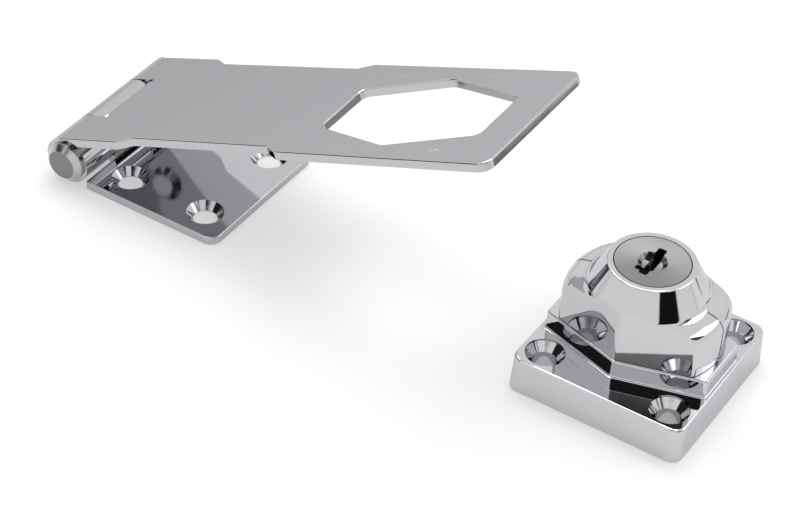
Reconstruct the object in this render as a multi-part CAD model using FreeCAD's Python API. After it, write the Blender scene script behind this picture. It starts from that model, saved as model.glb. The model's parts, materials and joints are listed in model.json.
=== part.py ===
import FreeCAD
import Part
import math
import os
from FreeCAD import Vector

# Keyed hasp lock: a hinged hasp and a square lock with a turning knob, both screwed to one plane.
# Millimetres. X runs along the hasp towards the lock, Y along the hinge pin, Z away from the plane.
# The origin is where the knob's axis meets the mounting plane.

# Sheet metal of the hinge unit
sheet_t = 1.9
unit_width = 38.1
sheet_edge_r = 0.35
sheet_corner_r = 2.6

# Hinge pin and knuckles
pin_r = 3.5
pin_run_gap = 0.05
pin_head_over = 1.1
pin_head_t = 2.0
pin_head_chamfer = 1.2
pin_head_gap = 0.08
middle_knuckle_w = 16.4
knuckle_gap = 0.25
knuckle_clear = 0.76
curl_end_deg = 15.0
strap_open_deg = 21.6

# Leaf
leaf_free_corner_r = 0.6
leaf_length = 39.5
leaf_hole_first_x = 12.0
leaf_hole_end = 7.3
leaf_hole_side = 6.95

# Countersunk holes of both units
screw_hole_r = 2.65
screw_csk_r = 4.15
screw_csk_deg = 82.0

# Strap outline, measured along the strap from the hinge axis
strap_reach = 113.0
strap_wide_end = 16.5
strap_slant_run = 3.3
strap_neck_inset = 2.0
strap_step_r = 1.2
strap_head_lead = 4.2
strap_end_web = 8.7
slot_relief_r = 0.6

# Hexagonal window of the strap
window_clear_end = 1.5
window_clear_side = 1.2
window_corner_r = 2.0
window_middle_r = 4.0

# Lock base
base_width = 39.4
base_height = 8.1
base_corner_r = 2.6
base_draft = 0.35
base_top_r = 0.5
base_wall = 2.2
base_boss_wall = 2.05
base_hole_inset = 5.5
base_underside_z = 4.2
base_csk_sink = 0.5

# Hexagonal platform under the knob
platform_height = 4.1
platform_end_inset = 1.4
platform_hole_web = 7.1
platform_bore_wall = 2.14
platform_corner_r = 0.9
platform_middle_r = 2.4
platform_edge_r = 0.45
platform_draft_deg = 3.0
platform_foot_r = 0.5
strap_end_gap = 1.0

# Turn knob
knob_seat_gap = 0.15
knob_inset = 0.35
knob_height = 17.3
knob_end_inset = 1.2
knob_corner_r = 1.5
knob_ring_w = 1.24
knob_shoulder_z = 9.9
knob_shoulder_w = 4.5
knob_shoulder_rise = 1.0
knob_dome_r = 3.2
knob_blend_r = 2.4
knob_groove_w = 0.4
knob_groove_depth = 0.3
knob_notch_r = 0.9
knob_edge_r = 0.35

# Spigot of the knob and its bore in the base
spigot_wall = 2.1
spigot_run_gap = 0.06
spigot_end_z = 0.6
cover_ledge = 0.5
cover_t = 1.4
cover_gap = 0.04
pocket_floor = 0.65

# Washers and clip under the base
clip_t = 1.0
clip_groove_depth = 0.9
clip_reach = 2.0
clip_open_deg = 46.0
clip_ear_r = 1.5
clip_ear_hole_r = 0.55
clip_gap = 0.05
washer_t = 0.8
washer_w = 2.9
washer_gap = 0.12
washer_seat_gap = 0.4
spring_washer_t = 0.4
spring_washer_w = 2.6
spring_washer_gap = 0.03

# Key plug
plug_r = 6.4
plug_run_gap = 0.05
plug_face_lip = 1.3
plug_face_t = 2.0
plug_face_gap = 0.16
plug_recess_r = 3.0
plug_recess_depth = 0.9
keyway_w = 1.9
keyway_end_wall = 1.8
keyway_notch_w = 1.2
keyway_notch_spans = ((0.6, 2.5), (-3.9, -2.6))
keyway_rest = 1.2
plug_floor = 1.3
plug_tail_wall = 0.4
plug_tail_gap = 0.06

# Wafers and their springs
wafer_count = 5
wafer_t = 1.1
wafer_side_inset = 3.8
wafer_end_inset = 0.8
wafer_run_gap = 0.06
wafer_travel = 0.9
wafer_first_depth = 6.2
wafer_key_gap = 0.35
wafer_window_h = 6.2
wafer_cut_step = 0.3
wafer_cuts = (1, 3, 0, 2, 1)
wafer_lug_w = 1.75
wafer_lug_h = 1.4
wafer_lug_y = 1.6
spring_r = 0.8
spring_wire_r = 0.14
spring_turns = 4
spring_steps = 10
spring_length = 4.8
spring_pocket_gap = 0.15
bore_groove_depth = 0.95

# Cam and locking bolt
bolt_w = 5.0
bolt_h = 2.6
bolt_run_gap = 0.05
bolt_pin_wall = 0.3
bolt_tip_gap = 0.4
bolt_travel = 2.0
bolt_pin_r = 0.8
bolt_pin_x = 4.0
bolt_tip_chamfer = 0.5
pocket_gap = 0.15
pocket_end_gap = 0.4
cam_t = 1.6
cam_rim = 0.59
cam_side_gap = 0.35
cam_gap = 0.2
cam_end_gap = 0.1
cam_slot_gap = 0.06
cam_slot_over_deg = 4.0
cam_turn_deg = 90.0
cam_screw_head_r = 2.1
cam_screw_head_t = 1.3
cam_screw_r = 1.25
cam_screw_gap = 0.05
cam_screw_reach = 3.6
cam_screw_end_gap = 0.5
cam_screw_slot_w = 0.5
cam_screw_slot_depth = 0.6

# Sheet sizes that follow from the ones above
half_width = unit_width / 2
pin_head_r = pin_r + pin_head_over
bore_knuckle_r = pin_r + pin_run_gap
barrel_r = bore_knuckle_r + sheet_t
slot_half_w = middle_knuckle_w / 2 + knuckle_gap
knuckle_slot_reach = math.sqrt(barrel_r ** 2 - bore_knuckle_r ** 2) + knuckle_clear
leaf_free_edge_x = knuckle_slot_reach
leaf_hole_last_x = leaf_length - leaf_hole_end
leaf_hole_y = half_width - leaf_hole_side

# Cam, spigot and bore, from the inside out
cam_r = bolt_pin_x + bolt_travel + bolt_pin_r + cam_slot_gap + cam_rim
spigot_cavity_r = cam_r + cam_side_gap
spigot_cover_r = spigot_cavity_r + cover_ledge
spigot_r = spigot_cover_r + spigot_wall
spigot_bore_r = spigot_r + spigot_run_gap
bolt_inner_x = bolt_pin_x - bolt_pin_r - bolt_pin_wall
bolt_tip_x = spigot_r - bolt_tip_gap
groove_r = spigot_r - clip_groove_depth
washer_inner_r = spigot_r + washer_gap
washer_seat_r = washer_inner_r + washer_w + washer_seat_gap

# Base and platform
base_half_w = base_width / 2
base_hole_xy = base_half_w - base_hole_inset
base_boss_r = screw_hole_r + base_boss_wall
platform_half_length = base_half_w - platform_end_inset
platform_end_half_w = base_hole_xy - platform_hole_web
platform_middle_half_w = spigot_bore_r + platform_bore_wall
platform_top_z = base_height + platform_height

# Strap head and window, laid out from the platform
window_half_length = platform_half_length + window_clear_end
window_centre_reach = strap_reach - strap_end_web - window_half_length
strap_head_start = window_centre_reach - window_half_length - strap_head_lead
strap_neck_end = strap_head_start - strap_slant_run
strap_neck_start = strap_wide_end + strap_slant_run
strap_neck_half_w = half_width - strap_neck_inset
hinge_x = -(strap_reach + strap_end_gap + platform_half_length)
hinge_z = barrel_r

# Knob and plug
plug_bore_r = plug_r + plug_run_gap
plug_face_r = plug_r + plug_face_lip
plug_tail_w = 2 * (cam_screw_r + plug_tail_wall)
keyway_h = 2 * (plug_r - keyway_end_wall)
knob_bottom_z = platform_top_z + knob_seat_gap
knob_top_z = platform_top_z + knob_height
knob_end_r = platform_half_length - knob_end_inset
knob_cone_base_r = knob_end_r - knob_shoulder_w
knob_cone_base_z = knob_shoulder_z + knob_shoulder_rise
knob_ring_r = plug_face_r + plug_face_gap + knob_ring_w

# Levels of the bolt, the cam, the clip and the wafers
cover_top_z = base_underside_z + pocket_floor
bolt_low_z = cover_top_z + bolt_run_gap
bolt_top_z = bolt_low_z + bolt_h
cam_low_z = bolt_top_z + cam_gap
cam_top_z = cam_low_z + cam_t
cavity_top_z = cam_top_z + cam_end_gap
clip_top_z = base_underside_z - spring_washer_gap - washer_t - 2 * spring_washer_t - clip_gap
clip_low_z = clip_top_z - clip_t
keyway_low_z = cam_top_z + plug_floor
wafer_last_z = keyway_low_z + keyway_rest
wafer_first_z = knob_top_z - wafer_first_depth - wafer_t
wafer_pitch = (wafer_first_z - wafer_last_z) / (wafer_count - 1)
wafer_w = 2 * (plug_r - wafer_side_inset)
wafer_h = 2 * (plug_r - wafer_end_inset)
wafer_window_w = keyway_w + 2 * wafer_key_gap

axis_z = Vector(0, 0, 1)
cut_over = 1.0


def rounded_face(corners, plane="xy"):
    """Face inside a closed outline. Each corner is (a, b, radius) in the named plane."""
    edges = []
    tangents = []
    count = len(corners)
    for i in range(count):
        before = Vector(corners[i - 1][0], corners[i - 1][1], 0)
        here = Vector(corners[i][0], corners[i][1], 0)
        after = Vector(corners[(i + 1) % count][0], corners[(i + 1) % count][1], 0)
        to_before = (before - here).normalize()
        to_after = (after - here).normalize()
        half = to_before.getAngle(to_after) / 2
        radius = corners[i][2]
        reach = radius / math.tan(half)
        start = here + to_before * reach
        end = here + to_after * reach
        middle = here + (to_before + to_after).normalize() * (radius / math.sin(half) - radius)
        tangents.append((start, middle, end, radius))
    for i in range(count):
        start, middle, end, radius = tangents[i]
        if radius > 0:
            edges.append(Part.Arc(start, middle, end).toShape())
        following = tangents[(i + 1) % count][0]
        if (following - end).Length > 1e-6:
            edges.append(Part.makeLine(end, following))
    face = Part.Face(Part.Wire(edges))
    if plane == "xz":
        face.rotate(Vector(0, 0, 0), Vector(1, 0, 0), 90)
    return face


def prism(corners, low_z, high_z):
    """Straight block over a rounded outline."""
    solid = rounded_face(corners).extrude(Vector(0, 0, high_z - low_z))
    solid.translate(Vector(0, 0, low_z))
    return solid


def turned(corners):
    """Solid turned about Z from an outline of (radius, z, rounding)."""
    return rounded_face(corners, "xz").revolve(Vector(0, 0, 0), axis_z, 360)


def cylinder(radius, low_z, high_z, x=0.0, y=0.0):
    return Part.makeCylinder(radius, high_z - low_z, Vector(x, y, low_z))


def tube(inner_r, outer_r, low_z, high_z):
    return cylinder(outer_r, low_z, high_z).cut(cylinder(inner_r, low_z - cut_over, high_z + cut_over))


def block(low_x, high_x, low_y, high_y, low_z, high_z):
    corner = Vector(low_x, low_y, low_z)
    return Part.makeBox(high_x - low_x, high_y - low_y, high_z - low_z, corner)


def csk_cutter(x, y, top_z, depth, clear_z):
    """Cutter for one countersunk hole whose wide mouth lies at top_z and is kept clear up to clear_z."""
    cone_depth = (screw_csk_r - screw_hole_r) / math.tan(math.radians(screw_csk_deg / 2))
    cone = Part.makeCone(screw_hole_r, screw_csk_r, cone_depth, Vector(x, y, top_z - cone_depth))
    mouth = cylinder(screw_csk_r, top_z, clear_z, x, y)
    shank = cylinder(screw_hole_r, top_z - depth - cut_over, top_z, x, y)
    return cone.fuse([mouth, shank])


def curled_strip(low_y, high_y):
    """Open curl round the hinge axis, starting at the top and ending short of the sheet."""
    start = math.radians(90)
    end = math.radians(360 + curl_end_deg)
    middle = (start + end) / 2

    def at(radius, angle):
        return Vector(radius * math.cos(angle), 0, radius * math.sin(angle))

    def arc(radius, first, last):
        return Part.Arc(at(radius, first), at(radius, middle), at(radius, last)).toShape()

    outer = arc(barrel_r, start, end)
    inner = arc(bore_knuckle_r, end, start)
    lip = Part.makeLine(at(barrel_r, end), at(bore_knuckle_r, end))
    root = Part.makeLine(at(bore_knuckle_r, start), at(barrel_r, start))
    curl = Part.Face(Part.Wire([outer, lip, inner, root])).extrude(Vector(0, high_y - low_y, 0))
    curl.translate(Vector(0, low_y, 0))
    return curl


def edges_at_height(solid, z, inside=None):
    """Edges that lie wholly at one height, if inside(edge box) agrees."""
    found = []
    for edge in solid.Edges:
        bounds = edge.BoundBox
        level = abs(bounds.ZMin - z) < 1e-4 and abs(bounds.ZMax - z) < 1e-4
        if level and (inside is None or inside(bounds)):
            found.append(edge)
    return found


def strap_outline():
    """Half outline of the strap from the hinge to its end, mirrored to the other side."""
    far_side = [
        (0, half_width, 0),
        (strap_wide_end, half_width, strap_step_r),
        (strap_neck_start, strap_neck_half_w, strap_step_r),
        (strap_neck_end, strap_neck_half_w, strap_step_r),
        (strap_head_start, half_width, strap_step_r),
        (strap_reach, half_width, sheet_corner_r),
    ]
    near_side = [(x, -y, r) for x, y, r in reversed(far_side)]
    return far_side + near_side


def hexagon(half_length, end_half_w, middle_half_w, corner_r, middle_r):
    """Hexagon with two short sides across X and two corners on Y."""
    return [
        (-half_length, -end_half_w, corner_r),
        (0, -middle_half_w, middle_r),
        (half_length, -end_half_w, corner_r),
        (half_length, end_half_w, corner_r),
        (0, middle_half_w, middle_r),
        (-half_length, end_half_w, corner_r),
    ]


def grown_hexagon(end_clear, side_clear, corner_r, middle_r):
    """The platform's hexagon moved outwards by a clearance at its ends and at its slanted sides."""
    slope = (platform_middle_half_w - platform_end_half_w) / platform_half_length
    rise = side_clear * math.sqrt(1 + slope * slope)
    half_length = platform_half_length + end_clear
    middle_half_w = platform_middle_half_w + rise
    end_half_w = middle_half_w - slope * half_length
    return hexagon(half_length, end_half_w, middle_half_w, corner_r, middle_r)


def make_hasp_strap():
    """Pressed strap with two outer knuckles, a narrowed neck and a hexagonal window."""
    low = bore_knuckle_r
    high = barrel_r
    sheet = prism(strap_outline(), low, high)
    window = prism(grown_hexagon(window_clear_end, window_clear_side, window_corner_r, window_middle_r),
                   low - cut_over, high + cut_over)
    window.translate(Vector(window_centre_reach, 0, 0))
    slot = block(-cut_over, knuckle_slot_reach, -slot_half_w, slot_half_w, low - cut_over, high + cut_over)
    reliefs = []
    for side in (-1, 1):
        y = side * (slot_half_w - slot_relief_r / 2)
        reliefs.append(cylinder(slot_relief_r, low - cut_over, high + cut_over, knuckle_slot_reach, y))
    sheet = sheet.cut([window, slot] + reliefs)

    def away_from_hinge(bounds):
        return bounds.XMax > strap_neck_start

    sheet = sheet.makeFillet(sheet_edge_r, edges_at_height(sheet, high, away_from_hinge))
    strap = sheet.fuse([curled_strip(slot_half_w, half_width), curled_strip(-half_width, -slot_half_w)])
    strap = strap.removeSplitter()
    strap.rotate(Vector(0, 0, 0), Vector(0, -1, 0), strap_open_deg)
    strap.translate(Vector(hinge_x, 0, hinge_z))
    return strap


def make_hinge_leaf():
    """Pressed leaf with four countersunk holes and one middle knuckle."""
    plate = prism([
        (leaf_free_edge_x, -half_width, leaf_free_corner_r),
        (leaf_length, -half_width, sheet_corner_r),
        (leaf_length, half_width, sheet_corner_r),
        (leaf_free_edge_x, half_width, leaf_free_corner_r),
    ], 0, sheet_t)
    plate = plate.makeFillet(sheet_edge_r, edges_at_height(plate, sheet_t))
    knuckle_half_w = middle_knuckle_w / 2
    tongue = block(0, leaf_free_edge_x + sheet_corner_r, -knuckle_half_w, knuckle_half_w, 0, sheet_t)
    curl = curled_strip(-knuckle_half_w, knuckle_half_w)
    curl = curl.mirror(Vector(0, 0, 0), axis_z)
    curl.translate(Vector(0, 0, hinge_z))
    leaf = plate.fuse([tongue, curl]).removeSplitter()
    holes = []
    for x in (leaf_hole_first_x, leaf_hole_last_x):
        for y in (-leaf_hole_y, leaf_hole_y):
            holes.append(csk_cutter(x, y, sheet_t, sheet_t, sheet_t + cut_over))
    leaf = leaf.cut(holes)
    leaf.translate(Vector(hinge_x, 0, 0))
    return leaf


def make_hinge_pin():
    """Pin with both ends spun over outside the knuckles."""
    reach = half_width + pin_head_gap
    end = reach + pin_head_t
    pin = turned([
        (0, -end, 0),
        (pin_head_r - pin_head_chamfer, -end, 0),
        (pin_head_r, -end + pin_head_chamfer, 0),
        (pin_head_r, -reach, 0),
        (pin_r, -reach, 0),
        (pin_r, reach, 0),
        (pin_head_r, reach, 0),
        (pin_head_r, end - pin_head_chamfer, 0),
        (pin_head_r - pin_head_chamfer, end, 0),
        (0, end, 0),
    ])
    pin.rotate(Vector(0, 0, 0), Vector(1, 0, 0), 90)
    pin.translate(Vector(hinge_x, 0, hinge_z))
    return pin


def square(half, corner_r):
    return [(-half, -half, corner_r), (half, -half, corner_r),
            (half, half, corner_r), (-half, half, corner_r)]


def drafted_slab(top_half_w, turn_deg):
    """Long slab whose two sides lean in by the draft, from the underside up to the platform's top."""
    height = platform_top_z - base_underside_z
    low_half_w = top_half_w + height * math.tan(math.radians(platform_draft_deg))
    slab = Part.makeWedge(-base_width, base_underside_z, -low_half_w, -top_half_w, -base_width,
                          base_width, platform_top_z, low_half_w, top_half_w, base_width)
    slab.rotate(Vector(0, 0, 0), Vector(1, 0, 0), 90)
    slab.rotate(Vector(0, 0, 0), axis_z, turn_deg)
    return slab


def make_platform():
    """Hexagonal platform: two crossed slabs with drafted sides, cut off at straight ends."""
    slope = math.atan((platform_middle_half_w - platform_end_half_w) / platform_half_length)
    side_half_w = platform_middle_half_w * math.cos(slope)
    platform = drafted_slab(side_half_w, math.degrees(slope))
    platform = platform.common(drafted_slab(side_half_w, -math.degrees(slope)))
    platform = platform.common(block(-platform_half_length, platform_half_length, -base_width, base_width,
                                     base_underside_z, platform_top_z))
    uprights = [edge for edge in platform.Edges if edge.BoundBox.ZLength > platform_height]
    corners = [edge for edge in uprights if abs(edge.BoundBox.Center.x) > platform_half_length / 2]
    platform = platform.makeFillet(platform_corner_r, corners)
    middles = [edge for edge in platform.Edges if edge.BoundBox.ZLength > platform_height
               and abs(edge.BoundBox.Center.x) < platform_corner_r]
    platform = platform.makeFillet(platform_middle_r, middles)
    return platform.makeFillet(platform_edge_r, edges_at_height(platform, platform_top_z))


def make_lock_base():
    """Die-cast base: drafted square, hexagonal platform, hollow underside, bore and bolt pockets."""
    brow = base_half_w - base_draft
    base = Part.makeWedge(-base_half_w, 0, -base_half_w, -brow, -brow,
                          base_half_w, base_height, base_half_w, brow, brow)
    base.rotate(Vector(0, 0, 0), Vector(1, 0, 0), 90)
    corners = [edge for edge in base.Edges if edge.BoundBox.ZLength > base_height / 2]
    base = base.makeFillet(base_corner_r, corners)
    base = base.makeFillet(base_top_r, edges_at_height(base, base_height))
    base = base.fuse(make_platform()).removeSplitter()

    def platform_foot(bounds):
        reach = max(abs(bounds.XMin), abs(bounds.XMax), abs(bounds.YMin), abs(bounds.YMax))
        return reach < max(platform_half_length, platform_middle_half_w) + platform_foot_r

    base = base.makeFillet(platform_foot_r, edges_at_height(base, base_height, platform_foot))
    hollow = prism(square(base_half_w - base_wall, base_corner_r), -cut_over, base_underside_z)
    cuts = [cylinder(spigot_bore_r, base_underside_z - cut_over, platform_top_z + cut_over)]
    for x in (-base_hole_xy, base_hole_xy):
        for y in (-base_hole_xy, base_hole_xy):
            hollow = hollow.cut(cylinder(base_boss_r, -2 * cut_over, base_underside_z + cut_over, x, y))
            cuts.append(csk_cutter(x, y, base_height - base_csk_sink, base_height,
                                   platform_top_z + cut_over))
    hollow = hollow.fuse(cylinder(washer_seat_r, -cut_over, base_underside_z))
    pocket_reach = bolt_tip_x + bolt_travel + pocket_end_gap
    for turn in (0, cam_turn_deg):
        pocket = block(0, pocket_reach, -bolt_w / 2 - pocket_gap, bolt_w / 2 + pocket_gap,
                       cover_top_z - pocket_gap + bolt_run_gap, bolt_top_z + pocket_gap)
        pocket.rotate(Vector(0, 0, 0), axis_z, turn)
        cuts.append(pocket)
    return base.cut([hollow] + cuts).removeSplitter()


def knob_profile(shrink=0.0):
    """Turned outline of the knob: end wall, domed shoulder, concave blend, cone and top ring."""
    base_z = knob_bottom_z
    return [
        (0, base_z, 0),
        (knob_end_r - shrink, base_z, 0),
        (knob_end_r - shrink, platform_top_z + knob_shoulder_z - shrink, knob_dome_r - shrink),
        (knob_cone_base_r - shrink, platform_top_z + knob_cone_base_z - shrink, knob_blend_r + shrink),
        (knob_ring_r, knob_top_z, 0),
        (0, knob_top_z, 0),
    ]


def make_turn_knob():
    """Die-cast knob: turned form cut by a hexagonal prism, stepped bore and spigot."""
    body = turned(knob_profile())
    outline = grown_hexagon(0, -knob_inset, platform_corner_r, platform_middle_r)
    waist = prism(outline, knob_bottom_z, knob_top_z)
    waist = waist.common(cylinder(knob_end_r, knob_bottom_z, knob_top_z))
    end_corners = [edge for edge in waist.Edges
                   if edge.BoundBox.ZLength > knob_height / 2 and abs(edge.BoundBox.XMin) > knob_end_r / 2]
    body = body.common(waist.makeFillet(knob_corner_r, end_corners))
    body = body.makeFillet(knob_edge_r, edges_at_height(body, knob_top_z))
    seam = block(-knob_end_r - cut_over, knob_end_r + cut_over, -knob_groove_w / 2, knob_groove_w / 2,
                 knob_bottom_z - cut_over, platform_top_z + knob_cone_base_z)
    seam = seam.cut(turned(knob_profile(knob_groove_depth)))
    notches = [cylinder(knob_notch_r, knob_bottom_z - cut_over, knob_bottom_z + knob_notch_r,
                        side * (knob_end_r + knob_notch_r / 3)) for side in (-1, 1)]
    body = body.cut([seam] + notches)
    spigot = cylinder(spigot_r, spigot_end_z, knob_bottom_z + knob_seat_gap)
    body = body.fuse(spigot)
    face_low_z = knob_top_z - plug_face_t - plug_run_gap
    cuts = [
        cylinder(plug_face_r + plug_face_gap, face_low_z, knob_top_z + cut_over),
        cylinder(plug_bore_r, cavity_top_z - cut_over, knob_top_z),
        cylinder(spigot_cavity_r, cover_top_z - cut_over, cavity_top_z),
        cylinder(spigot_cover_r, spigot_end_z - cut_over, cover_top_z),
        block(0, spigot_r + cut_over, -bolt_w / 2 - bolt_run_gap, bolt_w / 2 + bolt_run_gap,
              cover_top_z, bolt_top_z + bolt_run_gap),
        tube(groove_r, spigot_r + cut_over, clip_low_z - clip_gap, clip_top_z + clip_gap),
    ]
    groove_reach = plug_bore_r + bore_groove_depth
    groove_half = wafer_w / 2 + 4 * wafer_run_gap
    groove_top_z = wafer_first_z + 2 * wafer_t
    for turn in (0, cam_turn_deg):
        groove = block(-groove_half, groove_half, -groove_reach, groove_reach, keyway_low_z, groove_top_z)
        groove.rotate(Vector(0, 0, 0), axis_z, turn)
        cuts.append(groove)
    return body.cut(cuts).removeSplitter()


def wafer_level(index):
    """Lower face of a wafer, counted from the plug's face."""
    return wafer_first_z - index * wafer_pitch


def wafer_turn(index):
    """Every other wafer is fitted the other way round."""
    return 180 * (index % 2)


def make_cylinder_plug():
    """Key plug: face flange, body with wafer slots and spring pockets, keyway, square tail."""
    face_low_z = knob_top_z - plug_face_t
    plug = cylinder(plug_r, cam_top_z, knob_top_z - plug_face_t / 2)
    plug = plug.fuse(cylinder(plug_face_r, face_low_z, knob_top_z))
    tail_half = plug_tail_w / 2
    plug = plug.fuse(block(-tail_half, tail_half, -tail_half, tail_half, cam_low_z, cam_top_z + cut_over))
    recess = Part.makeCone(plug_recess_r - plug_recess_depth, plug_recess_r, plug_recess_depth,
                           Vector(0, 0, knob_top_z - plug_recess_depth))
    keyway = prism([
        (-keyway_w / 2, -keyway_h / 2, keyway_w / 4),
        (keyway_w / 2, -keyway_h / 2, keyway_w / 4),
        (keyway_w / 2, keyway_h / 2, keyway_w / 4),
        (-keyway_w / 2, keyway_h / 2, keyway_w / 4),
    ], keyway_low_z, knob_top_z + cut_over)
    wards = [block(-keyway_w / 2 - keyway_notch_w, 0, low_y, high_y, face_low_z, knob_top_z + cut_over)
             for low_y, high_y in keyway_notch_spans]
    bore = cylinder(cam_screw_r + cam_screw_gap, cam_low_z - cut_over,
                    cam_low_z + cam_screw_reach + cam_screw_end_gap)
    cuts = [recess, keyway, bore] + wards
    slot_half = wafer_w / 2 + wafer_run_gap
    lug_end_x = wafer_w / 2 + wafer_lug_w
    pocket_half_h = spring_r + spring_pocket_gap
    for index in range(wafer_count):
        low_z = wafer_level(index)
        middle_z = low_z + wafer_t / 2
        slot = block(-slot_half, slot_half, -2 * plug_r, 2 * plug_r, low_z - wafer_run_gap,
                     low_z + wafer_t + wafer_run_gap)
        pocket = block(0, lug_end_x + spring_pocket_gap, wafer_lug_y - spring_length - spring_pocket_gap,
                       wafer_lug_y + wafer_lug_h + wafer_travel + spring_pocket_gap,
                       middle_z - pocket_half_h, middle_z + pocket_half_h)
        opening = slot.fuse(pocket)
        opening.rotate(Vector(0, 0, 0), axis_z, wafer_turn(index))
        cuts.append(opening)
    return plug.cut(cuts).removeSplitter()


def make_wafer(index):
    """Flat wafer with a key window at its own height and a lug for its spring."""
    low_z = wafer_level(index)
    half_w = wafer_w / 2
    half_h = wafer_h / 2
    plate = prism(square_sided(half_w, half_h), low_z, low_z + wafer_t)
    lug = block(half_w - wafer_lug_w / 2, half_w + wafer_lug_w, wafer_lug_y, wafer_lug_y + wafer_lug_h,
                low_z, low_z + wafer_t)
    shift = wafer_cuts[index % len(wafer_cuts)] * wafer_cut_step
    window_half_w = wafer_window_w / 2
    window = block(-window_half_w, window_half_w, -wafer_window_h / 2 - shift, wafer_window_h / 2 - shift,
                   low_z - cut_over, low_z + wafer_t + cut_over)
    wafer = plate.fuse(lug).cut(window).removeSplitter()
    wafer.rotate(Vector(0, 0, 0), axis_z, wafer_turn(index))
    return wafer


def square_sided(half_w, half_h):
    rounding = half_w / 4
    return [(-half_w, -half_h, rounding), (half_w, -half_h, rounding),
            (half_w, half_h, rounding), (-half_w, half_h, rounding)]


def make_wafer_spring(index):
    """Coil spring along Y under the wafer's lug, its wire a hexagonal section on short straight runs."""
    coil_r = spring_r - spring_wire_r
    rise = spring_length - 2 * spring_wire_r
    steps = spring_turns * spring_steps
    path = []
    for i in range(steps + 1):
        angle = 2 * math.pi * i / spring_steps
        path.append(Vector(coil_r * math.cos(angle), coil_r * math.sin(angle), rise * i / steps))
    section = []
    for i in range(7):
        angle = math.pi * i / 3
        section.append(Vector(coil_r + spring_wire_r * math.cos(angle), 0, spring_wire_r * math.sin(angle)))
    spring = Part.makePolygon(path).makePipeShell([Part.makePolygon(section)], True, False, 1)
    spring.rotate(Vector(0, 0, 0), Vector(1, 0, 0), -90)
    middle_x = wafer_w / 2 + wafer_lug_w / 2
    spring.translate(Vector(middle_x, wafer_lug_y - spring_length + spring_wire_r,
                            wafer_level(index) + wafer_t / 2))
    spring.rotate(Vector(0, 0, 0), axis_z, wafer_turn(index))
    return spring


def spiral_slot():
    """Slot of the cam, whose middle line moves out by the bolt's travel over a quarter turn."""
    half_w = bolt_pin_r + cam_slot_gap
    growth = bolt_travel / math.radians(cam_turn_deg)
    over = math.radians(cam_slot_over_deg)
    last = math.radians(cam_turn_deg) + over
    steps = 9

    def side(offset):
        points = []
        for i in range(steps):
            angle = -over + (last + over) * i / (steps - 1)
            radius = bolt_pin_x + growth * angle
            along = Vector(growth * math.cos(angle) - radius * math.sin(angle),
                           growth * math.sin(angle) + radius * math.cos(angle), 0).normalize()
            normal = Vector(along.y, -along.x, 0)
            points.append(Vector(radius * math.cos(angle), radius * math.sin(angle), 0) + normal * offset)
        return points, along

    outer, end_along = side(half_w)
    inner, end_along = side(-half_w)
    start_along = (outer[0] - inner[0]).cross(axis_z).normalize()
    start_middle = (outer[0] + inner[0]) / 2 + start_along * half_w
    end_middle = (outer[-1] + inner[-1]) / 2 + end_along * half_w
    outer_curve = Part.BSplineCurve()
    outer_curve.interpolate(outer)
    inner_curve = Part.BSplineCurve()
    inner_curve.interpolate(inner[::-1])
    wire = Part.Wire([
        outer_curve.toShape(),
        Part.Arc(outer[-1], end_middle, inner[-1]).toShape(),
        inner_curve.toShape(),
        Part.Arc(inner[0], start_middle, outer[0]).toShape(),
    ])
    slot = Part.Face(wire).extrude(Vector(0, 0, cam_t + 2 * cut_over))
    slot.translate(Vector(0, 0, cam_low_z - cut_over))
    return slot


def make_plug_cam():
    """Disc on the plug's square tail with the spiral slot that drives the bolt."""
    hole_half = plug_tail_w / 2 + plug_tail_gap
    hole = block(-hole_half, hole_half, -hole_half, hole_half, cam_low_z - cut_over, cam_top_z + cut_over)
    return cylinder(cam_r, cam_low_z, cam_top_z).cut([hole, spiral_slot()])


def make_cam_screw():
    """Slotted screw that clamps the cam to the plug."""
    head_low_z = cam_low_z - cam_screw_head_t
    head = cylinder(cam_screw_head_r, head_low_z, cam_low_z)
    shank = cylinder(cam_screw_r, head_low_z, cam_low_z + cam_screw_reach)
    slot = block(-2 * cam_screw_head_r, 2 * cam_screw_head_r, -cam_screw_slot_w / 2, cam_screw_slot_w / 2,
                 head_low_z - cut_over, head_low_z + cam_screw_slot_depth)
    return head.fuse(shank).cut(slot).removeSplitter()


def make_locking_bolt():
    """Flat bolt with a chamfered tip and a follower pin for the cam."""
    bar = block(bolt_inner_x, bolt_tip_x, -bolt_w / 2, bolt_w / 2, bolt_low_z, bolt_top_z)
    tip_edges = [edge for edge in bar.Edges
                 if abs(edge.BoundBox.XMin - bolt_tip_x) < 1e-4 and edge.BoundBox.ZLength > bolt_h / 2]
    bar = bar.makeChamfer(bolt_tip_chamfer, tip_edges)
    follower = cylinder(bolt_pin_r, bolt_top_z - bolt_h / 2, cam_top_z - cam_gap, bolt_pin_x)
    return bar.fuse(follower).removeSplitter()


def make_bolt_cover():
    """Disc staked into the spigot under the bolt."""
    return cylinder(spigot_cover_r - cover_gap, cover_top_z - cover_t, cover_top_z)


def make_spring_washer():
    """Coned spring washer that presses the knob down."""
    outer_r = washer_inner_r + spring_washer_w
    low_z = clip_top_z + clip_gap + washer_t
    high_z = low_z + spring_washer_t
    return turned([
        (washer_inner_r, high_z, 0),
        (outer_r, low_z, 0),
        (outer_r, low_z + spring_washer_t, 0),
        (washer_inner_r, high_z + spring_washer_t, 0),
    ])


def make_retaining_washer():
    low_z = clip_top_z + clip_gap
    return tube(washer_inner_r, washer_inner_r + washer_w, low_z, low_z + washer_t)


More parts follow.
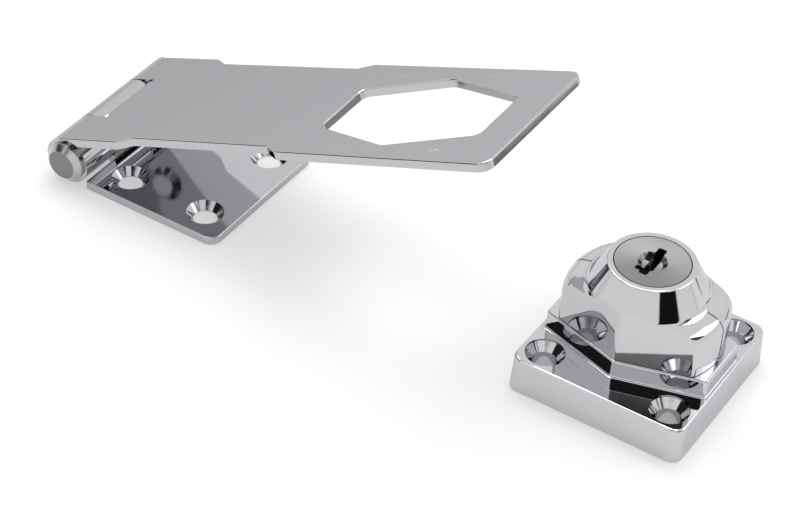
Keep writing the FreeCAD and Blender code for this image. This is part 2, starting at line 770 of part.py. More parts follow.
def make_retaining_clip():
    """Open ring with two eared ends, sprung into the spigot's groove."""
    inner_r = groove_r + clip_gap
    outer_r = spigot_r + clip_reach
    ring = tube(inner_r, outer_r, clip_low_z, clip_top_z)
    half_open = math.radians(clip_open_deg / 2)
    reach = 2 * outer_r
    wedge = Part.Face(Part.makePolygon([
        Vector(0, 0, 0),
        Vector(-reach * math.cos(half_open), -reach * math.sin(half_open), 0),
        Vector(-reach * math.cos(half_open), reach * math.sin(half_open), 0),
        Vector(0, 0, 0),
    ])).extrude(Vector(0, 0, clip_t + 2 * cut_over))
    wedge.translate(Vector(0, 0, clip_low_z - cut_over))
    ring = ring.cut(wedge)
    ear_ring_r = outer_r - clip_ear_r / 2
    ear_angle = half_open + clip_ear_r / ear_ring_r
    for side in (-1, 1):
        x = -ear_ring_r * math.cos(ear_angle)
        y = side * ear_ring_r * math.sin(ear_angle)
        ear = cylinder(clip_ear_r, clip_low_z, clip_top_z, x, y)
        ear = ear.cut(cylinder(inner_r, clip_low_z - cut_over, clip_top_z + cut_over))
        hole = cylinder(clip_ear_hole_r, clip_low_z - cut_over, clip_top_z + cut_over, x, y)
        ring = ring.fuse(ear).cut(hole)
    return ring.removeSplitter()


def main():
    os.makedirs("parts", exist_ok=True)
    pieces = {
        "hinge_leaf": make_hinge_leaf(),
        "hasp_strap": make_hasp_strap(),
        "hinge_pin": make_hinge_pin(),
        "lock_base": make_lock_base(),
        "turn_knob": make_turn_knob(),
        "cylinder_plug": make_cylinder_plug(),
        "plug_cam": make_plug_cam(),
        "cam_screw": make_cam_screw(),
        "locking_bolt": make_locking_bolt(),
        "bolt_cover": make_bolt_cover(),
        "spring_washer": make_spring_washer(),
        "retaining_washer": make_retaining_washer(),
        "retaining_clip": make_retaining_clip(),
    }
    for index in range(wafer_count):
        pieces["wafer_%d" % (index + 1)] = make_wafer(index)
        pieces["wafer_spring_%d" % (index + 1)] = make_wafer_spring(index)
    for name, shape in pieces.items():
        shape.exportStep("parts/%s.step" % name)
        print(name, "solids", len(shape.Solids), "valid", shape.isValid(), "volume", round(shape.Volume, 2))


main()
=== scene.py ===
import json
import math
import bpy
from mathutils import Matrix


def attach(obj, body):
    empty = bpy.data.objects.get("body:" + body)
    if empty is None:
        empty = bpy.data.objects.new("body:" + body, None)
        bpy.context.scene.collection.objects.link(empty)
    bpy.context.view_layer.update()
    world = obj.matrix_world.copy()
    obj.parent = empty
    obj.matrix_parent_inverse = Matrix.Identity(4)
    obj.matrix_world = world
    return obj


bl_info = {
    "name": "Keyed hasp lock looks",
    "version": (1, 0, 0),
    "blender": (4, 5, 0),
    "location": "3D View > Sidebar > Hasp lock",
    "description": "Finishes a hinged hasp and its keyed turning lock, and sets them on a studio floor",
    "category": "Object",
}

from collections import namedtuple

import bpy
import numpy as np
from mathutils import Matrix, Vector

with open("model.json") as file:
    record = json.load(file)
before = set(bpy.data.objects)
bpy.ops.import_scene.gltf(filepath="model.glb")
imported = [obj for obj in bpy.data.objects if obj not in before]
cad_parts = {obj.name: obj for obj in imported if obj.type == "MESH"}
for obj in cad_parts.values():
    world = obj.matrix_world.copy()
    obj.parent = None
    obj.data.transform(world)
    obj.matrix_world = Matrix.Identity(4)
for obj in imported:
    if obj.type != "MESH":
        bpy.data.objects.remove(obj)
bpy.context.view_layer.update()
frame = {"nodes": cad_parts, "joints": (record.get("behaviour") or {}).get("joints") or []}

# Which nodes take which finish
SHEET_NODES = ("hinge_leaf", "hasp_strap")
CASTING_NODES = ("lock_base", "turn_knob")
WAFER_NODES = tuple("wafer_%d" % i for i in range(1, 6))
SPRING_NODES = ("spring_washer", "retaining_clip") + tuple("wafer_spring_%d" % i for i in range(1, 6))
PLATED_NODES = ("plug_cam", "cam_screw", "locking_bolt", "bolt_cover", "retaining_washer")

# Coordinates over which distance is taken: from the pin's axis, along Y, and from the knob's, along Z
ACROSS_PIN = (1.0, 0.0, 1.0)
ACROSS_KNOB = (1.0, 1.0, 0.0)

# Camera's sensor in millimetres, and the nearest and farthest distance that it sees in metres
SENSOR_WIDTH = 36.0
NEAREST = 0.01
FARTHEST = 20.0

SkyCard = namedtuple("SkyCard", "azimuth half_width low high soft tone")

# Cards in the studio's sky, in degrees: azimuth from +X, half width, low and high elevation, soft edge.
# The tone runs from black to white. At rest the strap's top mirrors the last card.
SKY_CARDS = (
    SkyCard(azimuth=-153.0, half_width=32.0, low=14.0, high=40.0, soft=2.0, tone=0.02),
    SkyCard(azimuth=-84.0, half_width=27.0, low=41.0, high=66.0, soft=2.0, tone=0.02),
    SkyCard(azimuth=-24.0, half_width=18.0, low=-5.0, high=34.0, soft=1.5, tone=0.01),
    SkyCard(azimuth=20.0, half_width=12.0, low=24.0, high=55.0, soft=2.0, tone=0.05),
    SkyCard(azimuth=140.0, half_width=60.0, low=-10.0, high=10.5, soft=7.0, tone=0.82),
)


def length_property(name, description, default):
    """Length in metres."""
    return bpy.props.FloatProperty(
        name=name, description=description, default=default, subtype="DISTANCE", unit="LENGTH")


def angle_property(name, description, degrees):
    """Angle, with its default given in degrees."""
    return bpy.props.FloatProperty(
        name=name, description=description, default=math.radians(degrees), subtype="ANGLE", unit="ROTATION")


def share_property(name, description, default):
    """Share between 0 and 1."""
    return bpy.props.FloatProperty(
        name=name, description=description, default=default, subtype="FACTOR", min=0.0, max=1.0)


def power_property(name, description, default):
    """Power of a lamp in watts."""
    return bpy.props.FloatProperty(
        name=name, description=description, default=default, subtype="POWER", unit="POWER", min=0.0)


def colour_property(name, description, default):
    """Colour of three linear shares."""
    return bpy.props.FloatVectorProperty(
        name=name, description=description, default=default, subtype="COLOR", size=3, min=0.0, max=1.0)


def place_property(name, description, default):
    """Point in the part's frame, in metres."""
    return bpy.props.FloatVectorProperty(
        name=name, description=description, default=default, subtype="TRANSLATION", unit="LENGTH", size=3)


class HaspFinishSettings(bpy.types.PropertyGroup):
    """Colours and finishes that a user may change."""

    sheet: colour_property("Sheet chrome", "Reflected colour of the plated sheet", (0.51, 0.515, 0.53))
    sheet_edge: colour_property(
        "Sheet's edge tint", "Colour of reflections seen along the sheet", (0.66, 0.66, 0.67))
    sheet_roughness: share_property(
        "Sheet roughness", "Softness of reflections in the pressed sheet", 0.06)
    arrow_roughness: share_property(
        "Arrow roughness", "Softness of reflections in the stamped arrows", 0.18)
    chrome: colour_property("Chrome", "Reflected colour of the chromed casting", (0.575, 0.58, 0.595))
    chrome_edge: colour_property(
        "Chrome's edge tint", "Colour of reflections seen along the casting", (0.82, 0.82, 0.83))
    chrome_roughness: share_property("Chrome roughness", "Softness of reflections in the casting", 0.04)
    # Painted shade: the bore colour paints the knob's bore round the plug's flange, and a thin ring at the
    # edge of the knob's top, near black and matt. It stands in for the shade in the deep gap round the plug.
    painted_bore_shade: colour_property(
        "Bore", "Colour of the unplated bore behind the plug's flange", (0.03, 0.03, 0.03))
    painted_bore_shade_radius: length_property("Bore radius", "Radius of the knob's bore round the flange", 0.00796)
    painted_bore_shade_roughness: share_property("Bore roughness", "Softness of reflections in the unplated bore", 0.6)
    pin: colour_property("Pin", "Reflected colour of the pin's heads", (0.50, 0.50, 0.49))
    pin_roughness: share_property("Pin roughness", "Softness of reflections in the pin's heads", 0.2)
    pin_end: colour_property("Pin end", "Colour of the pin's bare flat ends", (0.26, 0.26, 0.25))
    pin_end_radius: length_property("Pin end radius", "Radius of the pin's flat end", 0.0034)
    pin_end_roughness: share_property("Pin end roughness", "Softness of reflections in the flat ends", 0.55)
    plug: colour_property("Plug", "Reflected colour of the turned plug face", (0.262, 0.263, 0.267))
    plug_roughness: share_property("Plug roughness", "Softness of reflections in the plug", 0.2)
    plug_streak: share_property("Plug streak", "How far the turning marks draw a reflection out", 0.6)
    plug_ring_pitch: bpy.props.FloatProperty(
        name="Plug ring pitch", description="Spacing of the turning marks on the plug", subtype="DISTANCE",
        unit="LENGTH", min=0.00002, max=0.001, default=0.00012)
    plug_ring_height: length_property("Plug ring height", "Height of the turning marks", 0.000002)
    plug_dish: bpy.props.FloatProperty(
        name="Plug dish", description="Slope of the plug's face, which rises outwards where it is below zero",
        min=-0.3, max=0.3, default=-0.05)
    steel: colour_property("Plated steel", "Colour of the zinc plated inner parts", (0.55, 0.56, 0.57))
    steel_roughness: share_property("Steel roughness", "Softness of reflections in the plated steel", 0.3)
    spring_steel: colour_property("Spring steel", "Colour of the springs and the clip", (0.36, 0.36, 0.36))
    spring_roughness: share_property("Spring roughness", "Softness of reflections in the springs", 0.28)
    brass: colour_property("Wafer brass", "Colour of the stamped wafers", (0.78, 0.60, 0.30))
    brass_roughness: share_property("Brass roughness", "Softness of reflections in the wafers", 0.3)


class HaspArrowSettings(bpy.types.PropertyGroup):
    """Plain curved arrows beside the window, measured along and across the strap from the hinge axis."""

    arrow_middle: length_property("Middle", "Window's middle along the strap", 0.0845)
    arrow_edge: length_property("Edge", "Shaft's farthest distance from the middle line", 0.0166)
    arrow_start: length_property("Start", "Shaft's start from the window's middle", 0.0065)
    arrow_end: length_property("End", "Shaft's tip from the window's middle", 0.0142)
    arrow_barb: length_property("Barb", "Length of each barb", 0.0017)
    arrow_half_width: length_property("Half width", "Half the width of a stroke", 0.00022)
    arrow_height: length_property("Height", "How far a stroke stands off the sheet", 0.00003)
    arrow_sink: length_property("Sink", "How far a stroke goes into the sheet", 0.00001)
    arrow_bend: bpy.props.FloatProperty(
        name="Bend", description="Curve of the shaft, per metre", default=12.0)
    arrow_barb_angle: angle_property("Barb angle", "Angle between a barb and the shaft", 30.0)


class HaspStageSettings(bpy.types.PropertyGroup):
    """Camera, floor, cards and lamps of the studio."""

    azimuth: angle_property("Azimuth", "Camera's turn round the hasp", 30.0)
    elevation: angle_property("Elevation", "Camera's height angle", 40.0)
    roll: angle_property("Roll", "Camera's tilt about its own axis", 4.0)
    distance: bpy.props.FloatProperty(
        name="Distance", description="Camera's distance from the point that it looks at",
        subtype="DISTANCE", unit="LENGTH", min=0.1, default=0.53)
    target: place_property("Target", "Point that the camera looks at", (-0.0569, -0.0012, 0.0026))
    lens: bpy.props.FloatProperty(
        name="Lens", description="Camera's focal length", subtype="DISTANCE_CAMERA", unit="CAMERA",
        min=20.0, default=112.0)
    floor_half_width: length_property("Floor half width", "Half the side of the square floor", 3.0)
    floor_drop: length_property("Floor drop", "Gap between the mounting plane and the floor", 0.0002)
    floor_tone: share_property("Floor tone", "Grey level of the floor", 0.5)
    floor_lift: share_property(
        "Floor lift", "Light that the floor adds for the camera and in reflections", 0.44)
    tip_card_place: place_property(
        "Tip card place", "Middle of the lower edge of the strap end's card", (0.0725, 0.110, 0.008))
    tip_card_width: length_property("Tip card width", "Width of the strap end's card", 0.052)
    tip_card_height: length_property("Tip card height", "Height of the strap end's card", 0.015)
    tip_card_azimuth: angle_property(
        "Tip card azimuth", "Direction that the strap end's card looks in", 6.6)
    tip_card_tone: share_property("Tip card tone", "Grey level of the strap end's card", 0.25)
    window_card_place: place_property(
        "Window card place", "Middle of the lower edge of the window's card", (-0.0307, 0.0409, 0.0195))
    window_card_width: length_property("Window card width", "Width of the window's card", 0.016)
    window_card_height: length_property("Window card height", "Height of the window's card", 0.010)
    window_card_azimuth: angle_property(
        "Window card azimuth", "Direction that the window's card looks in", 43.5)
    window_card_tone: share_property("Window card tone", "Grey level of the window's card", 0.38)
    top_lamp_place: place_property("Top lamp place", "Middle of the top lamp", (-0.25, 0.25, 0.75))
    top_lamp_size: length_property("Top lamp size", "Side of the square top lamp", 0.5)
    top_lamp_power: power_property("Top lamp power", "Power of the top lamp", 3.0)
    side_lamp_place: place_property("Side lamp place", "Middle of the side lamp", (0.45, 0.35, 0.5))
    side_lamp_size: length_property("Side lamp size", "Side of the square side lamp", 0.4)
    side_lamp_power: power_property("Side lamp power", "Power of the side lamp", 1.0)


def add_node(tree, kind, inputs=None, **settings):
    """Node of one kind with its settings, and with its inputs set or linked by name or number."""
    node = tree.nodes.new(kind)
    for key, value in settings.items():
        setattr(node, key, value)
    for key, value in (inputs or {}).items():
        if isinstance(value, bpy.types.NodeSocket):
            tree.links.new(value, node.inputs[key])
        else:
            node.inputs[key].default_value = value
    return node


def math_node(tree, operation, first, second=0.0, third=0.0):
    """One step of arithmetic, returned as its output socket."""
    return add_node(tree, "ShaderNodeMath", {0: first, 1: second, 2: third}, operation=operation).outputs[0]


def vector_node(tree, operation, first, second=(0.0, 0.0, 0.0)):
    """One step of vector arithmetic, returned as its node."""
    return add_node(tree, "ShaderNodeVectorMath", {0: first, 1: second}, operation=operation)


def mix_value(tree, share, first, second):
    """Value that goes from the first to the second with the share, returned as its output socket."""
    return add_node(tree, "ShaderNodeMix", {0: share, 2: first, 3: second}, data_type="FLOAT").outputs[0]


def mix_colour(tree, share, first, second):
    """Colour that goes from the first to the second with the share, returned as its output socket."""
    return add_node(tree, "ShaderNodeMix", {0: share, 6: first, 7: second}, data_type="RGBA").outputs[2]


def map_range(tree, value, low, high, at_low, at_high):
    """Value that goes from one level at low to another at high, held beyond them, as its output socket."""
    inputs = {0: value, 1: low, 2: high, 3: at_low, 4: at_high}
    return add_node(tree, "ShaderNodeMapRange", inputs).outputs[0]


def new_group(name, inputs, outputs):
    """Shader node group with named float or vector sockets, given as (name, kind, default)."""
    group = bpy.data.node_groups.new(name, "ShaderNodeTree")
    for label, kind, default in inputs:
        socket = group.interface.new_socket(label, in_out="INPUT", socket_type=kind)
        socket.default_value = default
    for label, kind in outputs:
        group.interface.new_socket(label, in_out="OUTPUT", socket_type=kind)
    start = group.nodes.new("NodeGroupInput")
    end = group.nodes.new("NodeGroupOutput")
    return group, start, end


def place_group(tree, group, inputs):
    """One use of a node group with its own values."""
    return add_node(tree, "ShaderNodeGroup", inputs, node_tree=group)


def polish_group():
    """Polished plate: slow waviness with a fine grain on it, as a normal, and a patchy roughness."""
    name = "polished plate"
    if name in bpy.data.node_groups:
        return bpy.data.node_groups[name]
    grain_scale = 4000.0
    patch_scale = 180.0
    patch_low, patch_high = 0.35, 0.7
    smoothest, roughest = 0.8, 1.25
    group, start, end = new_group(
        name,
        [("Wave Size", "NodeSocketFloat", 0.008), ("Wave Height", "NodeSocketFloat", 0.000004),
         ("Grain Height", "NodeSocketFloat", 0.0000004), ("Roughness", "NodeSocketFloat", 0.05)],
        [("Normal", "NodeSocketVector"), ("Roughness", "NodeSocketFloat")])
    place = add_node(group, "ShaderNodeTexCoord").outputs["Object"]
    wave_scale = math_node(group, "DIVIDE", 1.0, start.outputs["Wave Size"])
    wave = add_node(group, "ShaderNodeTexNoise", {"Vector": place, "Scale": wave_scale, "Detail": 1.0})
    slow = add_node(group, "ShaderNodeBump", {
        "Height": wave.outputs[0], "Distance": start.outputs["Wave Height"]})
    grain = add_node(group, "ShaderNodeTexNoise", {"Vector": place, "Scale": grain_scale, "Detail": 2.0})
    fine = add_node(group, "ShaderNodeBump", {
        "Height": grain.outputs[0], "Distance": start.outputs["Grain Height"], "Normal": slow.outputs[0]})
    patches = add_node(group, "ShaderNodeTexNoise", {"Vector": place, "Scale": patch_scale, "Detail": 3.0})
    spread = map_range(group, patches.outputs[0], patch_low, patch_high, smoothest, roughest)
    group.links.new(fine.outputs[0], end.inputs["Normal"])
    rough = math_node(group, "MULTIPLY", start.outputs["Roughness"], spread)
    group.links.new(rough, end.inputs["Roughness"])
    return group


def rings_group():
    """Turned face: fine uneven rings about the knob's axis on a cone whose fall outwards is the dish."""
    name = "turned rings"
    if name in bpy.data.node_groups:
        return bpy.data.node_groups[name]
    group, start, end = new_group(
        name,
        [("Pitch", "NodeSocketFloat", 0.0001), ("Height", "NodeSocketFloat", 0.000002),
         ("Dish", "NodeSocketFloat", 0.0)],
        [("Normal", "NodeSocketVector")])
    place = add_node(group, "ShaderNodeTexCoord").outputs["Object"]
    axes = add_node(group, "ShaderNodeSeparateXYZ", {0: place})
    flat = add_node(group, "ShaderNodeCombineXYZ", {0: axes.outputs[0], 1: axes.outputs[1]})
    radius = vector_node(group, "LENGTH", flat.outputs[0]).outputs["Value"]
    turns = math_node(group, "DIVIDE", radius, start.outputs["Pitch"])
    uneven = add_node(group, "ShaderNodeTexNoise", {"Vector": turns, "Scale": 1.0, "Detail": 2.0})
    fall = math_node(group, "MULTIPLY", radius, start.outputs["Dish"])
    dished = add_node(group, "ShaderNodeBump", {"Height": fall, "Distance": 1.0}, invert=True)
    bump = add_node(group, "ShaderNodeBump", {
        "Height": uneven.outputs[0], "Distance": start.outputs["Height"], "Normal": dished.outputs[0]})
    group.links.new(bump.outputs[0], end.inputs["Normal"])
    return group


def near_axis_group():
    """Mask that is 1 within a radius of an axis, with the distance taken over two coordinates."""
    name = "near an axis"
    if name in bpy.data.node_groups:
        return bpy.data.node_groups[name]
    group, start, end = new_group(
        name,
        [("Centre", "NodeSocketVector", (0.0, 0.0, 0.0)), ("Across", "NodeSocketVector", ACROSS_KNOB),
         ("Radius", "NodeSocketFloat", 0.003), ("Blur", "NodeSocketFloat", 0.00005)],
        [("Mask", "NodeSocketFloat")])
    place = add_node(group, "ShaderNodeTexCoord").outputs["Object"]
    away = vector_node(group, "SUBTRACT", place, start.outputs["Centre"])
    flat = vector_node(group, "MULTIPLY", away.outputs[0], start.outputs["Across"])
    radius = vector_node(group, "LENGTH", flat.outputs[0]).outputs["Value"]
    inside = math_node(group, "SUBTRACT", start.outputs["Radius"], radius)
    edge = math_node(group, "DIVIDE", inside, start.outputs["Blur"])
    mask = add_node(group, "ShaderNodeClamp", {0: edge})
    group.links.new(mask.outputs[0], end.inputs["Mask"])
    return group


def new_metal(name, colour):
    """Metallic material, with its tree and shader, whose colour is on the shader's own socket."""
    material = bpy.data.materials.new(name)
    material.use_nodes = True
    tree = material.node_tree
    shader = tree.nodes["Principled BSDF"]
    shader.inputs["Base Color"].default_value = (*colour, 1.0)
    shader.inputs["Metallic"].default_value = 1.0
    return material, tree, shader


def metal(name, colour, roughness, wave_size=0.008, wave_height=0.0, grain_height=0.0,
          edge=(1.0, 1.0, 1.0)):
    """Polished metal whose normal and roughness come from the polish group."""
    material, tree, shader = new_metal(name, colour)
    shader.inputs["Specular Tint"].default_value = (*edge, 1.0)
    polish = place_group(tree, polish_group(), {
        "Wave Size": wave_size, "Wave Height": wave_height, "Grain Height": grain_height,
        "Roughness": roughness})
    tree.links.new(polish.outputs["Normal"], shader.inputs["Normal"])
    tree.links.new(polish.outputs["Roughness"], shader.inputs["Roughness"])
    return material


def turned_metal(name, colour, roughness, streak, pitch, height, dish):
    """Metal with turning marks about the knob's axis."""
    material, tree, shader = new_metal(name, colour)
    shader.inputs["Roughness"].default_value = roughness
    shader.inputs["Anisotropic"].default_value = streak
    rings = place_group(tree, rings_group(), {"Pitch": pitch, "Height": height, "Dish": dish})
    tree.links.new(rings.outputs["Normal"], shader.inputs["Normal"])
    round_axis = add_node(tree, "ShaderNodeTangent", direction_type="RADIAL", axis="Z")
    tree.links.new(round_axis.outputs[0], shader.inputs["Tangent"])
    return material


def tint_near_axis(material, centre, across, radius, colour, roughness):
    """Gives a metal another colour and roughness within a radius of an axis."""
    tree = material.node_tree
    shader = tree.nodes["Principled BSDF"]
    mask = place_group(tree, near_axis_group(), {
        "Centre": centre, "Across": across, "Radius": radius}).outputs["Mask"]
    outer = tuple(shader.inputs["Base Color"].default_value)
    tree.links.new(mix_colour(tree, mask, outer, (*colour, 1.0)), shader.inputs["Base Color"])
    polished = shader.inputs["Roughness"].links[0].from_socket
    tree.links.new(mix_value(tree, mask, polished, roughness), shader.inputs["Roughness"])


def dress(nodes, material):
    """Puts one material on every slot of the named nodes."""
    for name in nodes:
        for slot in frame["nodes"][name].material_slots:
            slot.material = material


class HASP_OT_sheet(bpy.types.Operator):
    """Chromes the pressed leaf and strap"""

    bl_idname = "hasp.sheet"
    bl_label = "Leaf and strap"

    def execute(self, context):
        look = context.scene.hasp_finish
        chromed = metal("chromed sheet", look.sheet, look.sheet_roughness, wave_size=0.03,
                        wave_height=0.000012, grain_height=0.0000006, edge=look.sheet_edge)
        dress(SHEET_NODES, chromed)
        return {"FINISHED"}


class HASP_OT_pin(bpy.types.Operator):
    """Finishes the hinge pin"""

    bl_idname = "hasp.pin"
    bl_label = "Hinge pin"

    def execute(self, context):
        look = context.scene.hasp_finish
        spun = metal("spun pin", look.pin, look.pin_roughness, wave_size=0.004, wave_height=0.000003,
                     grain_height=0.000001)
        axis_x, axis_z, _ = sheet_place()
        tint_near_axis(spun, (axis_x, 0.0, axis_z), ACROSS_PIN, look.pin_end_radius, look.pin_end,
                       look.pin_end_roughness)
        dress(("hinge_pin",), spun)
        return {"FINISHED"}


class HASP_OT_casting(bpy.types.Operator):
    """Chromes the cast base and knob, and paints shade into the knob's bore round the plug"""

    bl_idname = "hasp.casting"
    bl_label = "Base and knob"

    def execute(self, context):
        look = context.scene.hasp_finish
        cast = metal("chromed casting", look.chrome, look.chrome_roughness, wave_size=0.007,
                     wave_height=0.000006, grain_height=0.0000003, edge=look.chrome_edge)
        # Painted shade: within the bore radius of the knob's axis the casting is painted near black and matt.
        # This stands in for the shade in the gap round the plug and at the edge of the knob's top.
        tint_near_axis(cast, (0.0, 0.0, 0.0), ACROSS_KNOB, look.painted_bore_shade_radius, look.painted_bore_shade, look.painted_bore_shade_roughness)
        dress(CASTING_NODES, cast)
        return {"FINISHED"}


class HASP_OT_plug(bpy.types.Operator):
    """Finishes the turned key plug"""

    bl_idname = "hasp.plug"
    bl_label = "Key plug"

    def execute(self, context):
        look = context.scene.hasp_finish
        turned = turned_metal("turned plug", look.plug, look.plug_roughness, look.plug_streak,
                              look.plug_ring_pitch, look.plug_ring_height, look.plug_dish)
        dress(("cylinder_plug",), turned)
        return {"FINISHED"}


def sheet_place():
    """Place and height of the hinge axis, and lean of the strap at rest, from its joint.

    The knuckle's outer radius is both the axis height and the distance from the axis to the strap's top.
    """
    joint = next(joint for joint in frame["joints"] if joint["name"] == "strap_hinge")
    axis_x, _, axis_z = joint["pos_m"]
    return axis_x, axis_z, math.radians(-joint["range_deg"][0])


def on_strap(along, across, above):
    """Points given along, across and above the strap's top face, in the part's frame."""
    axis_x, axis_z, lean = sheet_place()
    level = axis_z + above
    x = axis_x + along * math.cos(lean) - level * math.sin(lean)
    z = axis_z + along * math.sin(lean) + level * math.cos(lean)
    return np.stack([x, across, z], axis=-1)


def tube_faces(rings, sides):
    """Faces of a closed tube with flat ends: ring i meets ring i + 1, and side j meets side j + 1."""
    i, j = np.meshgrid(np.arange(rings - 1), np.arange(sides), indexing="ij")
    after = (j + 1) % sides
    ring = i * sides
    next_ring = ring + sides
    walls = np.stack([ring + j, ring + after, next_ring + after, next_ring + j], axis=-1)
    near = np.arange(sides)[::-1]
    far = np.arange(sides) + (rings - 1) * sides
    return walls.reshape(-1, 4).tolist() + [near.tolist(), far.tolist()]


def ridge(path, half_width, height, sink):
    """Low ridge along a flat path: each point carries a four-cornered section, set square to the path."""
    crest_share = 0.4
    run = np.gradient(path, axis=0)
    run /= np.linalg.norm(run, axis=1, keepdims=True)
    side = np.stack([-run[:, 1], run[:, 0]], axis=1)
    offsets = np.array([-1.0, -crest_share, crest_share, 1.0]) * half_width
    levels = np.array([-sink, height, height, -sink])
    flat = path[:, None, :] + side[:, None, :] * offsets[None, :, None]
    above = np.broadcast_to(levels, flat.shape[:2])
    return on_strap(flat[..., 0], flat[..., 1], above).reshape(-1, 3), tube_faces(len(path), len(offsets))


def arrow_paths(settings):
    """Strokes of the four arrows by the window: a shaft is the curve y = edge - bend * (x - middle)^2."""
    shaft_points, barb_points = 25, 5
    off = np.linspace(settings.arrow_start, settings.arrow_end, shaft_points)
    reach = np.linspace(0.0, settings.arrow_barb, barb_points)[:, None]
    paths = []
    for side in (-1.0, 1.0):
        for way in (-1.0, 1.0):
            along = settings.arrow_middle + way * off
            across = side * (settings.arrow_edge - settings.arrow_bend * off ** 2)
            shaft = np.stack([along, across], axis=1)
            paths.append(shaft)
            tip = shaft[-1]
            back = shaft[-2] - tip
            heading = math.atan2(back[1], back[0])
            for barb in (-1.0, 1.0):
                angle = heading + barb * settings.arrow_barb_angle
                paths.append(tip + reach * np.array([math.cos(angle), math.sin(angle)]))
    return paths


class HASP_OT_arrows(bpy.types.Operator):
    """Adds the plain turning arrows beside the strap's window"""

    bl_idname = "hasp.arrows"
    bl_label = "Turning arrows"

    def execute(self, context):
        look = context.scene.hasp_finish
        settings = context.scene.hasp_arrows
        section = (settings.arrow_half_width, settings.arrow_height, settings.arrow_sink)
        points, faces = [], []
        for path in arrow_paths(settings):
            stroke, quads = ridge(path, *section)
            first = sum(len(part) for part in points)
            faces += [[first + index for index in quad] for quad in quads]
            points.append(stroke)
        mesh = bpy.data.meshes.new("turning_arrows")
        mesh.from_pydata(np.concatenate(points).tolist(), [], faces)
        mesh.validate()
        arrows = bpy.data.objects.new("turning_arrows", mesh)
        context.scene.collection.objects.link(arrows)
        stamped = metal("stamped arrows", look.sheet, look.arrow_roughness, edge=look.sheet_edge)
        mesh.materials.append(stamped)
        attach(arrows, "strap")
        return {"FINISHED"}


class HASP_OT_inner(bpy.types.Operator):
    """Finishes the cam, bolt, washers, clip, wafers and springs"""

    bl_idname = "hasp.inner"
    bl_label = "Inner parts"

    def execute(self, context):
        look = context.scene.hasp_finish
        dress(PLATED_NODES, metal("zinc plated steel", look.steel, look.steel_roughness,
                                  grain_height=0.000002))
        dress(SPRING_NODES, metal("oiled spring steel", look.spring_steel, look.spring_roughness,
                                  grain_height=0.000001))
        dress(WAFER_NODES, metal("stamped brass", look.brass, look.brass_roughness, grain_height=0.000002))
        return {"FINISHED"}


def sky_card_mask(tree, azimuth, elevation, card):
    """Mask that is 1 where a direction, as azimuth and elevation, meets a card, with soft edges."""
    turn = math_node(tree, "SUBTRACT", azimuth, math.radians(card.azimuth))
    away = math_node(tree, "ABSOLUTE", math_node(tree, "WRAP", turn, math.pi, -math.pi))
    blur = math.radians(card.soft)
    half_width, low, high = math.radians(card.half_width), math.radians(card.low), math.radians(card.high)
    across = map_range(tree, away, half_width - blur, half_width + blur, 1.0, 0.0)
    over_low = map_range(tree, elevation, low - blur, low + blur, 0.0, 1.0)
    under_high = map_range(tree, elevation, high - blur, high + blur, 1.0, 0.0)
    return math_node(tree, "MULTIPLY", across, math_node(tree, "MULTIPLY", over_low, under_high))


def build_world():
    """Bright studio sky with darker cards, and plain white wherever the camera sees it."""
    world = bpy.data.worlds.new("studio")
    world.use_nodes = True
    tree = world.node_tree
    tree.nodes.clear()
    way = add_node(tree, "ShaderNodeTexCoord").outputs["Generated"]
    axes = add_node(tree, "ShaderNodeSeparateXYZ", {0: way})
    azimuth = math_node(tree, "ARCTAN2", axes.outputs[1], axes.outputs[0])
    elevation = math_node(tree, "ARCSINE", axes.outputs[2])
    level = 1.0
    for card in SKY_CARDS:
        level = mix_value(tree, sky_card_mask(tree, azimuth, elevation, card), level, card.tone)
    seen = add_node(tree, "ShaderNodeLightPath").outputs["Is Camera Ray"]
    shown = mix_value(tree, seen, level, 1.0)
    light = add_node(tree, "ShaderNodeBackground", {"Color": (1.0, 1.0, 1.0, 1.0), "Strength": shown})
    output = add_node(tree, "ShaderNodeOutputWorld")
    tree.links.new(light.outputs[0], output.inputs[0])
    bpy.context.scene.world = world


def stage_panel(name, material_name, corners):
    """Flat four-cornered piece of the stage, returned with the empty node tree of its material."""
    mesh = bpy.data.meshes.new(name)
    mesh.from_pydata(corners, [], [(0, 1, 2, 3)])
    panel = bpy.data.objects.new(name, mesh)
    bpy.context.scene.collection.objects.link(panel)
    material = bpy.data.materials.new(material_name)
    material.use_nodes = True
    material.node_tree.nodes.clear()
    mesh.materials.append(material)
    return panel, material.node_tree


def build_floor(settings):
    """Wide floor just under the mounting plane, lifted to white for the camera and for reflections."""
    half, level = settings.floor_half_width, -settings.floor_drop
    corners = [(-half, -half, level), (half, -half, level), (half, half, level), (-half, half, level)]
    floor, tree = stage_panel("floor", "studio floor", corners)
    tone = settings.floor_tone
    matt = add_node(tree, "ShaderNodeBsdfDiffuse", {"Color": (tone, tone, tone, 1.0)})
    path = add_node(tree, "ShaderNodeLightPath")
    direct = math_node(tree, "MAXIMUM", path.outputs["Is Camera Ray"], path.outputs["Is Transmission Ray"])
    shown = math_node(tree, "MAXIMUM", direct, path.outputs["Is Glossy Ray"])
    lift = math_node(tree, "MULTIPLY", shown, settings.floor_lift)
    glow = add_node(tree, "ShaderNodeEmission", {"Strength": lift})
    both = add_node(tree, "ShaderNodeAddShader", {0: matt.outputs[0], 1: glow.outputs[0]})
    output = add_node(tree, "ShaderNodeOutputMaterial")
    tree.links.new(both.outputs[0], output.inputs[0])


def build_card(name, place, width, height, azimuth, tone):
    """Dark upright card that is seen only in reflections."""
    along = Vector((-math.sin(azimuth), math.cos(azimuth), 0.0)) * width / 2
    low = Vector(place)
    high = low + Vector((0.0, 0.0, height))
    card, tree = stage_panel(name, "dark card", [low - along, low + along, high + along, high - along])
    glow = add_node(tree, "ShaderNodeEmission", {"Strength": tone})
    output = add_node(tree, "ShaderNodeOutputMaterial")
    tree.links.new(glow.outputs[0], output.inputs[0])
    card.visible_camera = False
    card.visible_diffuse = False
    card.visible_shadow = False


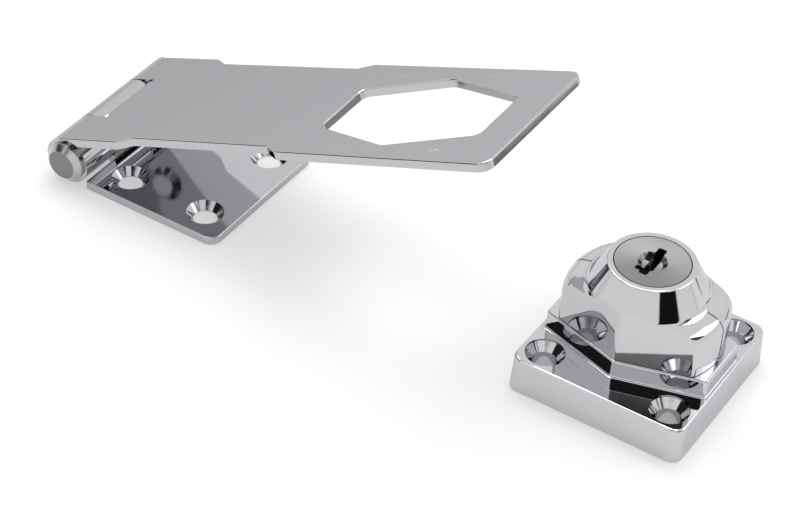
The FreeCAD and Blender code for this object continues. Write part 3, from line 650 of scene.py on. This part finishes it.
def add_lamp(name, place, target, size, power):
    """Square soft lamp that looks at a point."""
    data = bpy.data.lights.new(name, "AREA")
    data.shape = "SQUARE"
    data.size = size
    data.energy = power
    lamp = bpy.data.objects.new(name, data)
    lamp.location = place
    lamp.rotation_euler = (Vector(target) - Vector(place)).to_track_quat("-Z", "Y").to_euler()
    bpy.context.scene.collection.objects.link(lamp)


def build_camera(settings):
    """Camera on a sphere round its target, turned about its own axis by the roll."""
    azimuth, elevation = settings.azimuth, settings.elevation
    back = Vector((math.sin(azimuth) * math.cos(elevation), -math.cos(azimuth) * math.cos(elevation),
                   math.sin(elevation)))
    data = bpy.data.cameras.new("camera")
    data.sensor_width = SENSOR_WIDTH
    data.lens = settings.lens
    data.clip_start = NEAREST
    data.clip_end = FARTHEST
    camera = bpy.data.objects.new("camera", data)
    turn = (-back).to_track_quat("-Z", "Y").to_matrix().to_4x4() @ Matrix.Rotation(settings.roll, 4, "Z")
    camera.matrix_world = Matrix.Translation(Vector(settings.target) + back * settings.distance) @ turn
    bpy.context.scene.collection.objects.link(camera)
    bpy.context.scene.camera = camera


class HASP_OT_stage(bpy.types.Operator):
    """Builds the sky, the floor, the cards, the lamps and the camera"""

    bl_idname = "hasp.stage"
    bl_label = "Stage"

    def execute(self, context):
        stage = context.scene.hasp_stage
        context.scene.view_settings.view_transform = "Standard"
        build_world()
        build_floor(stage)
        build_card("tip_card", stage.tip_card_place, stage.tip_card_width, stage.tip_card_height,
                   stage.tip_card_azimuth, stage.tip_card_tone)
        build_card("window_card", stage.window_card_place, stage.window_card_width,
                   stage.window_card_height, stage.window_card_azimuth, stage.window_card_tone)
        add_lamp("top lamp", stage.top_lamp_place, stage.target, stage.top_lamp_size, stage.top_lamp_power)
        add_lamp("side lamp", stage.side_lamp_place, stage.target, stage.side_lamp_size,
                 stage.side_lamp_power)
        build_camera(stage)
        return {"FINISHED"}


STEPS = (
    HASP_OT_sheet,
    HASP_OT_pin,
    HASP_OT_casting,
    HASP_OT_plug,
    HASP_OT_arrows,
    HASP_OT_inner,
    HASP_OT_stage,
)


class HASP_PT_panel(bpy.types.Panel):
    """Lists the steps that finish the hasp lock"""

    bl_idname = "HASP_PT_panel"
    bl_label = "Hasp lock"
    bl_space_type = "VIEW_3D"
    bl_region_type = "UI"
    bl_category = "Hasp lock"

    def draw(self, context):
        for step in STEPS:
            self.layout.operator(step.bl_idname)


CLASSES = (HaspFinishSettings, HaspArrowSettings, HaspStageSettings) + STEPS + (HASP_PT_panel,)


def register():
    for cls in CLASSES:
        bpy.utils.register_class(cls)
    bpy.types.Scene.hasp_finish = bpy.props.PointerProperty(type=HaspFinishSettings)
    bpy.types.Scene.hasp_arrows = bpy.props.PointerProperty(type=HaspArrowSettings)
    bpy.types.Scene.hasp_stage = bpy.props.PointerProperty(type=HaspStageSettings)


def unregister():
    del bpy.types.Scene.hasp_finish
    del bpy.types.Scene.hasp_arrows
    del bpy.types.Scene.hasp_stage
    for cls in reversed(CLASSES):
        bpy.utils.unregister_class(cls)


def main():
    register()
    bpy.ops.hasp.sheet()
    bpy.ops.hasp.pin()
    bpy.ops.hasp.casting()
    bpy.ops.hasp.plug()
    bpy.ops.hasp.arrows()
    bpy.ops.hasp.inner()
    bpy.ops.hasp.stage()


if __name__ == "__main__":
    main()
